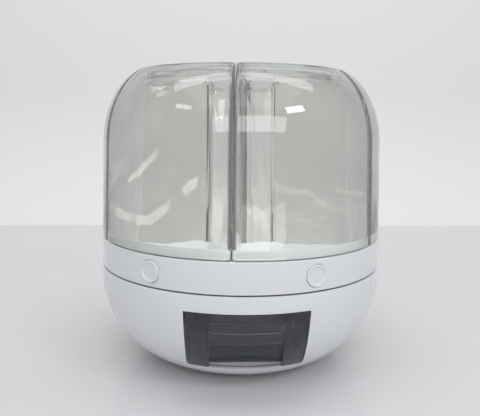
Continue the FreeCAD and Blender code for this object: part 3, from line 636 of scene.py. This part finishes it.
def make_cup():
    beyond = 2.0
    cup = cup_plan("measuring_cup_shell", CUP_GAP, CUP_BACK, CUP_FLOOR, CUP_TOP, CUP_ROUND)
    within(cup, full_bowl("bowl_volume", 0.0))
    inside = full_bowl("bowl_inside", CUP_FRONT_WALL)
    above = cuboid("above_rim", (-BOWL_MIDDLE, BOWL_MIDDLE), (FRONT, 0), (CUP_RIM, GAP))
    within(above, inside, keep=True)
    cut(cup, above)
    hollow = cup_plan("hollow", CUP_GAP + CUP_WALL, CUP_BACK - CUP_WALL, CUP_FLOOR + CUP_WALL,
                      CUP_TOP + beyond, CUP_ROUND - CUP_WALL)
    within(hollow, inside, keep=True)
    cut(hollow, pocket_block("shroud", CUP_WALL, POCKET_BACK + CUP_WALL, CUP_RIM,
                             POCKET_ROUND + CUP_WALL))
    cut(cup, hollow)
    space = pocket_block("pocket", 0.0, POCKET_BACK, CUP_RIM - CUP_WALL, POCKET_ROUND)
    within(space, inside)
    cut(cup, space)
    cut(cup, pocket_block("mouth", 0.0, POCKET_BACK, GRIP_LOW, 0.0))
    grip = cuboid("grip", (-POCKET_HALF, POCKET_HALF), (FRONT, POCKET_BACK), (GRIP_LOW, GRIP_TOP))
    within(grip, full_bowl("grip_front", -0.7))
    cut(grip, full_bowl("grip_back", 5.0))
    add(cup, grip)
    ease_edges(cup, 0.35, 2, 40.0)
    finish_piece(cup, "cup", "smoke", ["measuring_cup"])


# ---------------------------------------------------------------- turntable

def make_ring():
    wall_r, lip_r, lip_z = RING_R - RING_WALL, RING_R - 2.0 * RING_WALL, RING_TOP - 3.0
    profile = rounded([((wall_r, 0, RING_LOW), 0.3), ((RING_R, 0, RING_LOW), 0.8),
                       ((RING_R, 0, RING_TOP), 0.8), ((lip_r, 0, RING_TOP), 0.4),
                       ((lip_r, 0, lip_z), 0), ((wall_r, 0, lip_z), 0)], 4)
    ring = revolve("turntable_band", profile, closed=True)
    bore_r, bore_steps, bore_start, bore_length = 10.8, 64, 140.0, 16.0
    turns = [math.tau * k / bore_steps for k in range(bore_steps)]
    outline = [(bore_start, bore_r * math.cos(t), BUTTON_Z + bore_r * math.sin(t)) for t in turns]
    bore = block("bore", outline, (bore_length, 0, 0))
    for i in range(BINS):
        cut(ring, turned_copy(bore, "bore_placed", i))
    discard(bore)
    ease_edges(ring, 0.35, 2, 50.0)
    finish_piece(ring, "turntable", "white", ["turntable_ring"])


def make_hub_cap():
    low, top, plate = GAP + 2.8, GAP + 31.0, 5.0
    outer_r, inner_r = 24.0, 22.0
    profile = rounded([((0, 0, top), 0), ((outer_r, 0, top), 5.0), ((outer_r, 0, low), 0.3),
                       ((inner_r, 0, low), 0), ((inner_r, 0, top - plate), 2.0),
                       ((0, 0, top - plate), 0)])
    cap = revolve("hub_cover", profile, ROUND_SMALL)
    finish_piece(cap, "turntable", "white", ["hub_cap"])


def make_buttons():
    """A dished cap with a raised rim and a collar inside the ring, on a stem with a blade."""
    dish, shoulder, collar, stem_end = BUTTON_FACE - 1.2, 146.2, 144.8, 126.5
    dish_r, crest_r, rim_r, collar_r, stem_r = 7.6, 8.7, 10.4, 11.3, 3.2
    profile = rounded([((dish, 0, 0), 0), ((dish, 0, dish_r), 1.4),
                       ((BUTTON_FACE, 0, crest_r), 0.5), ((BUTTON_FACE, 0, rim_r), 0.6),
                       ((shoulder, 0, rim_r), 0), ((shoulder, 0, collar_r), 0.2),
                       ((collar, 0, collar_r), 0.2), ((collar, 0, stem_r), 0),
                       ((stem_end, 0, stem_r), 0.5), ((stem_end, 0, 0), 0)], 5)
    profile = [Vector((p[0], p[1], p[2] + BUTTON_Z)) for p in profile]
    button = revolve("button", profile, ROUND_SMALL, (0, 0, BUTTON_Z), (1, 0, 0))
    add(button, cuboid("blade", (116.05, 146.0), (-7.0, 7.0), (GAP + 7.6, GAP + 10.2)))
    for i in range(BINS):
        copy_for_bin(i, button, "press_button", "button", "white", "button")
    discard(button)


def make_springs():
    """Wound wire round each stem, a coil that keeps its length here, though the real one shortens
    as its button is pressed.
    """
    wire_r, coil_r, turns, turn_steps = 0.38, 4.05, 7, 20
    start, end, anchor_r = 129.4, 144.4, 129.0
    points = []
    for k in range(turns * turn_steps + 1):
        angle = math.tau * k / turn_steps
        points.append((start + (end - start) * k / (turns * turn_steps),
                       coil_r * math.cos(angle), BUTTON_Z + coil_r * math.sin(angle)))
    take(trace("spring", points, close=False))
    bpy.ops.object.convert(target="CURVE")
    line = bpy.context.active_object
    line.data.bevel_depth = wire_r
    line.data.bevel_resolution = 2
    line.data.use_fill_caps = True
    bpy.ops.object.convert(target="MESH")
    line = bpy.context.active_object
    for i in range(BINS):
        n = i + 1
        copy = turned_copy(line, "return_spring_%d" % n, i)
        finish_piece(copy, "turntable", "steel", ["button_springs"] if i == 0 else ())
        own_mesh(copy)
    discard(line)


# ---------------------------------------------------------------- bins, hoppers and lids

def from_apex(apex, reach, turn, z):
    """A point at a distance and a turn from a wedge's apex, which lies on the X axis."""
    return Vector((apex + reach * math.cos(turn), reach * math.sin(turn), z))


def arc_from_apex(apex, reach, z, steps):
    """Points from one side of a wedge to the other."""
    return [from_apex(apex, reach, HALF_PITCH * (2.0 * k / steps - 1.0), z)
            for k in range(steps + 1)]


def wall_radius(z):
    """How far a bin's outer wall stands from the axis at a height."""
    return RING_R - BIN_LEAN * (z - BIN_FOOT) / (SHOULDER_Z - BIN_FOOT)


def wedge_body(name, inward, low, top, corner_round):
    """One wedge: a side section spun through a bin's angle, cut flat at its back."""
    shoulder_steps, spin_steps = 26, 30
    apex = 2.0 * (BIN_GAP + inward)
    start = apex + 4.0
    reach, rise = SHOULDER_REACH - inward, SHOULDER_RISE - inward
    last = math.asin((top - SHOULDER_Z) / rise)
    side = [(wall_radius(low) - inward, low)]
    for k in range(shoulder_steps + 1):
        turn = last * k / shoulder_steps
        side.append((SHOULDER_MIDDLE + reach * math.cos(turn),
                     SHOULDER_Z + rise * math.sin(turn)))
    section = [(start, low)] + side + [(start, top)]
    piece = trace(name, [from_apex(apex, r - apex, HALF_PITCH, z) for r, z in section])
    ring_of_edges(piece)
    bpy.ops.mesh.spin(steps=spin_steps, angle=2.0 * HALF_PITCH, center=(apex, 0, 0),
                      axis=(0, 0, 1))
    bpy.ops.mesh.select_all(action="SELECT")
    bpy.ops.mesh.remove_doubles(threshold=MERGE)
    bpy.ops.mesh.fill_holes(sides=0)
    tidy_shell(piece)
    back = from_apex(apex, BIN_BACK + inward - apex, HALF_PITCH, 0.0).x
    edit(piece)
    bpy.ops.mesh.bisect(plane_co=(back, 0, 0), plane_no=(1, 0, 0), use_fill=True,
                        clear_inner=True)

    def on_flat_side(face):
        facing = abs(math.degrees(math.atan2(face.normal.y, face.normal.x)))
        return abs(facing - 120.0) < 1.0 and abs(face.normal.z) < 0.01

    def outer_corner(edge):
        a, b = edge.verts[0].co, edge.verts[1].co
        nearest = min(math.hypot(v.x - apex, v.y) for v in (a, b))
        if len(edge.link_faces) != 2 or nearest <= 60.0 or abs(a.z - b.z) <= 0.3:
            return False
        return on_flat_side(edge.link_faces[0]) != on_flat_side(edge.link_faces[1])

    round_edges(piece, outer_corner, corner_round, 6)
    tidy_shell(piece)
    return piece


def foot_loop(inset, back_r, clearance, z):
    """Level outline inside the foot of a bin's outer wall, with a fixed count of points.

    The arc's ends are run out to sides that are moved inward by inset, and the back stands
    between these sides at back_r.
    """
    centre = 2.0 * (BIN_GAP + BIN_WALL)
    arc = arc_from_apex(centre, wall_radius(z) - BIN_WALL - clearance - centre, z, LOOP_STEPS)
    run_out = BIN_GAP + BIN_WALL - inset
    arc[0] += Vector((-math.sin(HALF_PITCH), -math.cos(HALF_PITCH), 0.0)) * run_out
    arc[-1] += Vector((-math.sin(HALF_PITCH), math.cos(HALF_PITCH), 0.0)) * run_out
    apex = 2.0 * inset
    corners = [from_apex(apex, back_r - apex, turn, z) for turn in (HALF_PITCH, -HALF_PITCH)]
    steps = [k / SIDE_STEPS for k in range(SIDE_STEPS + 1)]
    return (arc + [arc[-1].lerp(corners[0], share) for share in steps[1:-1]]
            + [corners[0].lerp(corners[1], share) for share in steps]
            + [corners[1].lerp(arc[0], share) for share in steps[1:-1]])


def outlet_loop(grow, z):
    """The hopper's outlet as an outline with as many points as foot_loop has."""
    near, far, half = 90.0 - grow, 100.0 + grow, 18.0 + grow
    steps = [k / SIDE_STEPS for k in range(SIDE_STEPS + 1)]
    return ([Vector((far, half * (2.0 * k / LOOP_STEPS - 1.0), z)) for k in range(LOOP_STEPS + 1)]
            + [Vector((far + (near - far) * share, half, z)) for share in steps[1:-1]]
            + [Vector((near, half * (1.0 - 2.0 * share), z)) for share in steps]
            + [Vector((near + (far - near) * share, -half, z)) for share in steps[1:-1]])


def mouth_block(name, grow, low, top):
    """The mouth's block between two heights, widened by grow."""
    apex = 2.0 * (MOUTH_SIDE - grow)
    arc = arc_from_apex(apex, MOUTH_OUTER + grow - apex, low, 18)
    # The two outer corners are rounded, so the arc points that the rounding takes up are left out.
    radius = MOUTH_ROUND + grow
    kept = [p for p in arc if min((p - arc[0]).length, (p - arc[-1]).length) > radius * 1.05]
    back = [from_apex(apex, MOUTH_INNER - grow - apex, turn, low)
            for turn in (HALF_PITCH, -HALF_PITCH)]
    corners = ([(arc[0], radius)] + [(p, 0.0) for p in kept] + [(arc[-1], radius)]
               + [(p, 2.0) for p in back])
    return block(name, rounded(corners, 7), (0, 0, top - low))


def make_bins():
    beyond, outer_round, inner_round = 1.0, 3.6, 1.2
    shell = wedge_body("bin", 0.0, BIN_FOOT, BIN_TOP, outer_round)
    volume = wedge_body("bin_volume", 0.0, BIN_FOOT, BIN_TOP, outer_round)
    cut(shell, wedge_body("bin_inside", BIN_WALL, BIN_FOOT - beyond, BIN_TOP - BIN_WALL,
                          inner_round))
    room = foot_loop(-1.0, BIN_BACK / 2.0, 0.3, BIN_FOOT - beyond)
    cut(shell, block("foot_room", room, (0, 0, RIM_TOP + 0.05 - BIN_FOOT + beyond)))
    collar = mouth_block("collar", 2.0, COLLAR_LOW, BIN_TOP - 1.0)
    within(collar, volume)
    add(shell, collar)
    cut(shell, mouth_block("mouth", 0.0, COLLAR_LOW + 1.6, BIN_TOP + beyond))
    cut(shell, mouth_block("mouth_low", -3.0, COLLAR_LOW - beyond, BIN_TOP + beyond))
    ease_edges(shell, 0.45, 2, 42.0)
    for i in range(BINS):
        copy_for_bin(i, shell, "clear_bin", "bin", "clear", "bin", angle=26.0)
    discard(shell)


def seal_band(name, grow):
    """A closed band round the lid's plug, at the height of the seal."""
    core = mouth_block(name + "_core", -SEAL_DEPTH, GAP + 193.0, GAP + 197.0)
    return cut(mouth_block(name, grow, SEAL_LOW, SEAL_TOP), core)


def make_lids():
    plate = mouth_block("lid", -LID_GAP, LID_FOOT, LID_TOP)
    cut(plate, mouth_block("lid_inside", -LID_GAP - LID_WALL, LID_FOOT - 1.0, LID_TOP - LID_PLATE))
    cut(plate, seal_band("groove", 1.0))
    well_r, well_apart, well_depth, well_round = 88.0, 7.0, 4.0, 2.4
    for middle in (well_r - well_apart, well_r + well_apart):
        for grow, way, over in ((1.6, add, 0.0), (0.0, cut, 1.0)):
            half, reach, low = 4.5 + grow, 17.0 + grow, LID_TOP - well_depth - grow
            corners = ((middle - half, -reach, low), (middle + half, -reach, low),
                       (middle + half, reach, low), (middle - half, reach, low))
            outline = rounded([(corner, well_round) for corner in corners], 5)
            way(plate, block("well", outline, (0, 0, LID_TOP + over - low)))
    ease_edges(plate, 0.6, 3, 45.0)
    seal = seal_band("seal", -0.12)
    ease_edges(seal, 0.3, 2, 45.0)
    for i in range(BINS):
        copy_for_bin(i, plate, "clear_lid", "lid", "clear", "lid")
        copy_for_bin(i, seal, "soft_seal", "lid", "seal", "lid_seal")
    discard(plate)
    discard(seal)


def bridged(name, loops):
    """A closed body bridged from loop to loop."""
    lines = []
    for k, loop in enumerate(loops):
        line = trace("%s_%d" % (name, k), loop)
        ring_of_edges(line)
        lines.append(line)
    body = gather(lines, name)
    edit(body)
    bpy.ops.mesh.select_mode(type="VERT")
    for low, high in zip(loops, loops[1:]):
        bpy.ops.mesh.select_all(action="DESELECT")
        mesh = bmesh.from_edit_mesh(body.data)
        levels = (low[0].z, high[0].z)
        for vert in mesh.verts:
            if min(abs(vert.co.z - level) for level in levels) < 0.01:
                vert.select = True
        mesh.select_flush(True)
        bmesh.update_edit_mesh(body.data)
        bpy.ops.mesh.bridge_edge_loops()
    bpy.ops.mesh.select_all(action="SELECT")
    bpy.ops.mesh.fill_holes(sides=0)
    tidy_shell(body)
    return body


def make_hoppers():
    inset, back_r, wall = BIN_GAP + BIN_WALL, BIN_BACK + BIN_WALL, 2.0
    hopper = bridged("hopper", [foot_loop(BIN_GAP, BIN_BACK, 0.05, RIM_TOP),
                                foot_loop(BIN_GAP, BIN_BACK, 0.05, RIM_FOOT),
                                outlet_loop(wall, OUTLET_TOP), outlet_loop(wall, OUTLET_LOW)])
    cut(hopper, bridged("hopper_inside", [foot_loop(inset, back_r, 0.05 + wall, RIM_TOP + 1.0),
                                          foot_loop(inset, back_r, 0.05 + wall, RIM_FOOT),
                                          outlet_loop(0.0, GAP + 17.0),
                                          outlet_loop(0.0, OUTLET_LOW - 1.0)]))
    low, slot_low, slot_top, high = GAP + 5.95, GAP + 7.55, GAP + 10.25, GAP + 13.0
    start, length = 75.0, 42.0
    for side in (-1, 1):
        inner, slot, outer = side * 18.3, side * 20.85, side * 22.45
        section = [(inner, low), (outer, low), (outer, high), (inner, high),
                   (inner, slot_top), (slot, slot_top), (slot, slot_low), (inner, slot_low)]
        add(hopper, block("rail", [(start, y, z) for y, z in section], (length, 0, 0)))
    ease_edges(hopper, 0.3, 2, 50.0)
    for i in range(BINS):
        copy_for_bin(i, hopper, "white_hopper", "bin", "white", "hopper")
    discard(hopper)


# ---------------------------------------------------------------- carried-over pieces

def dress_frame():
    """Every CAD piece that still shows gets its own finish."""
    slots = {entry["node"]: entry["material_slot"] for entry in frame["record"]["subparts"]}
    for node, piece in frame["nodes"].items():
        if not piece.material_slots:
            piece.data.materials.append(MATERIALS[slots[node]])
        for slot in piece.material_slots:
            slot.material = MATERIALS[slots[node]]


# ---------------------------------------------------------------- stage, light and camera

# These sizes are in metres.
STAGE_HALF = 6.0
COUNTER_FRONT = -5.0
COUNTER_BACK = 0.75
CURVE_R = 0.35


def stage():
    """A level counter, and behind it a backdrop that curves up from the counter."""
    let_go()
    counter = trace("counter", [(-STAGE_HALF, COUNTER_FRONT, 0), (-STAGE_HALF, COUNTER_BACK, 0)],
                    close=False)
    turns = [math.pi / 2.0 * k / 16 for k in range(17)]
    curve = [(-STAGE_HALF, COUNTER_BACK + CURVE_R * math.sin(t), CURVE_R - CURVE_R * math.cos(t))
             for t in turns]
    backdrop = trace("backdrop", curve + [(-STAGE_HALF, COUNTER_BACK + CURVE_R, STAGE_HALF)],
                     close=False)
    for sheet, finish in ((counter, "counter"), (backdrop, "backdrop")):
        edit(sheet)
        across = {"value": (2.0 * STAGE_HALF, 0, 0)}
        bpy.ops.mesh.extrude_region_move(TRANSFORM_OT_translate=across)
        bpy.ops.object.mode_set(mode="OBJECT")
        bpy.ops.object.shade_smooth_by_angle(angle=math.radians(30.0))
        sheet.data.materials.clear()
        sheet.data.materials.append(MATERIALS[finish])


def room_light(colour, strength):
    world = bpy.data.worlds.new("studio")
    bpy.context.scene.world = world
    world.use_nodes = True
    background = world.node_tree.nodes["Background"]
    background.inputs["Color"].default_value = (*colour, 1.0)
    background.inputs["Strength"].default_value = strength


def soft_light(name, place, size, power, aim=(0, 0, 0.16)):
    """A lit panel, size wide and high in metres, that faces a point."""
    let_go()
    bpy.ops.object.light_add(type="AREA", location=place)
    lamp = bpy.context.active_object
    lamp.name = name
    lamp.data.shape = "RECTANGLE"
    lamp.data.size, lamp.data.size_y = size
    lamp.data.energy = power
    lamp.rotation_euler = (Vector(aim) - Vector(place)).to_track_quat("-Z", "Y").to_euler()


def make_camera(place, turn, drop, roll, lens):
    """The camera, turned about the object by its first angle and looking down by its second."""
    let_go()
    bpy.ops.object.camera_add()
    camera = bpy.context.active_object
    camera.name = "view"
    turned = Matrix.Rotation(math.radians(turn), 4, "Z")
    pitched = Matrix.Rotation(math.radians(90.0 - drop), 4, "X")
    rolled = Matrix.Rotation(math.radians(roll), 4, "Z")
    camera.matrix_world = Matrix.Translation(turned @ Vector(place)) @ turned @ pitched @ rolled
    camera.data.sensor_width = 36.0
    camera.data.lens = lens
    camera.data.clip_start = 0.01
    bpy.context.scene.camera = camera


make_base()
make_feet()
make_cup()
make_ring()
make_hub_cap()
make_buttons()
make_springs()
make_bins()
make_lids()
make_hoppers()
dress_frame()
stage()
room_light((0.80, 0.82, 0.84), 0.50)
soft_light("window_left", (-1.5, -1.1, 1.5), size=(0.5, 0.16), power=1.0)
soft_light("window_right", (1.4, -1.5, 1.6), size=(0.6, 0.25), power=6.5)
soft_light("above", (0.0, -0.6, 2.3), size=(3.0, 3.0), power=17.0)
soft_light("front", (0.1, -1.4, 0.78), size=(1.4, 0.4), power=5.0, aim=(0, -0.1, 0.04))
soft_light("backdrop_light", (0.0, -0.2, 2.0), size=(3.0, 0.6), power=11.0, aim=(0, 1.1, 0.5))
make_camera((-0.0009, -0.60615, 0.25265), turn=-2.7, drop=8.72, roll=0.64, lens=41.25)

# Light crosses many walls of clear plastic, and it is turned back inside them.
BOUNCES = 24
scene = bpy.context.scene
scene.cycles.max_bounces = BOUNCES
scene.cycles.transmission_bounces = BOUNCES
scene.cycles.glossy_bounces = BOUNCES
scene.cycles.transparent_max_bounces = BOUNCES
scene.view_settings.view_transform = "Standard"
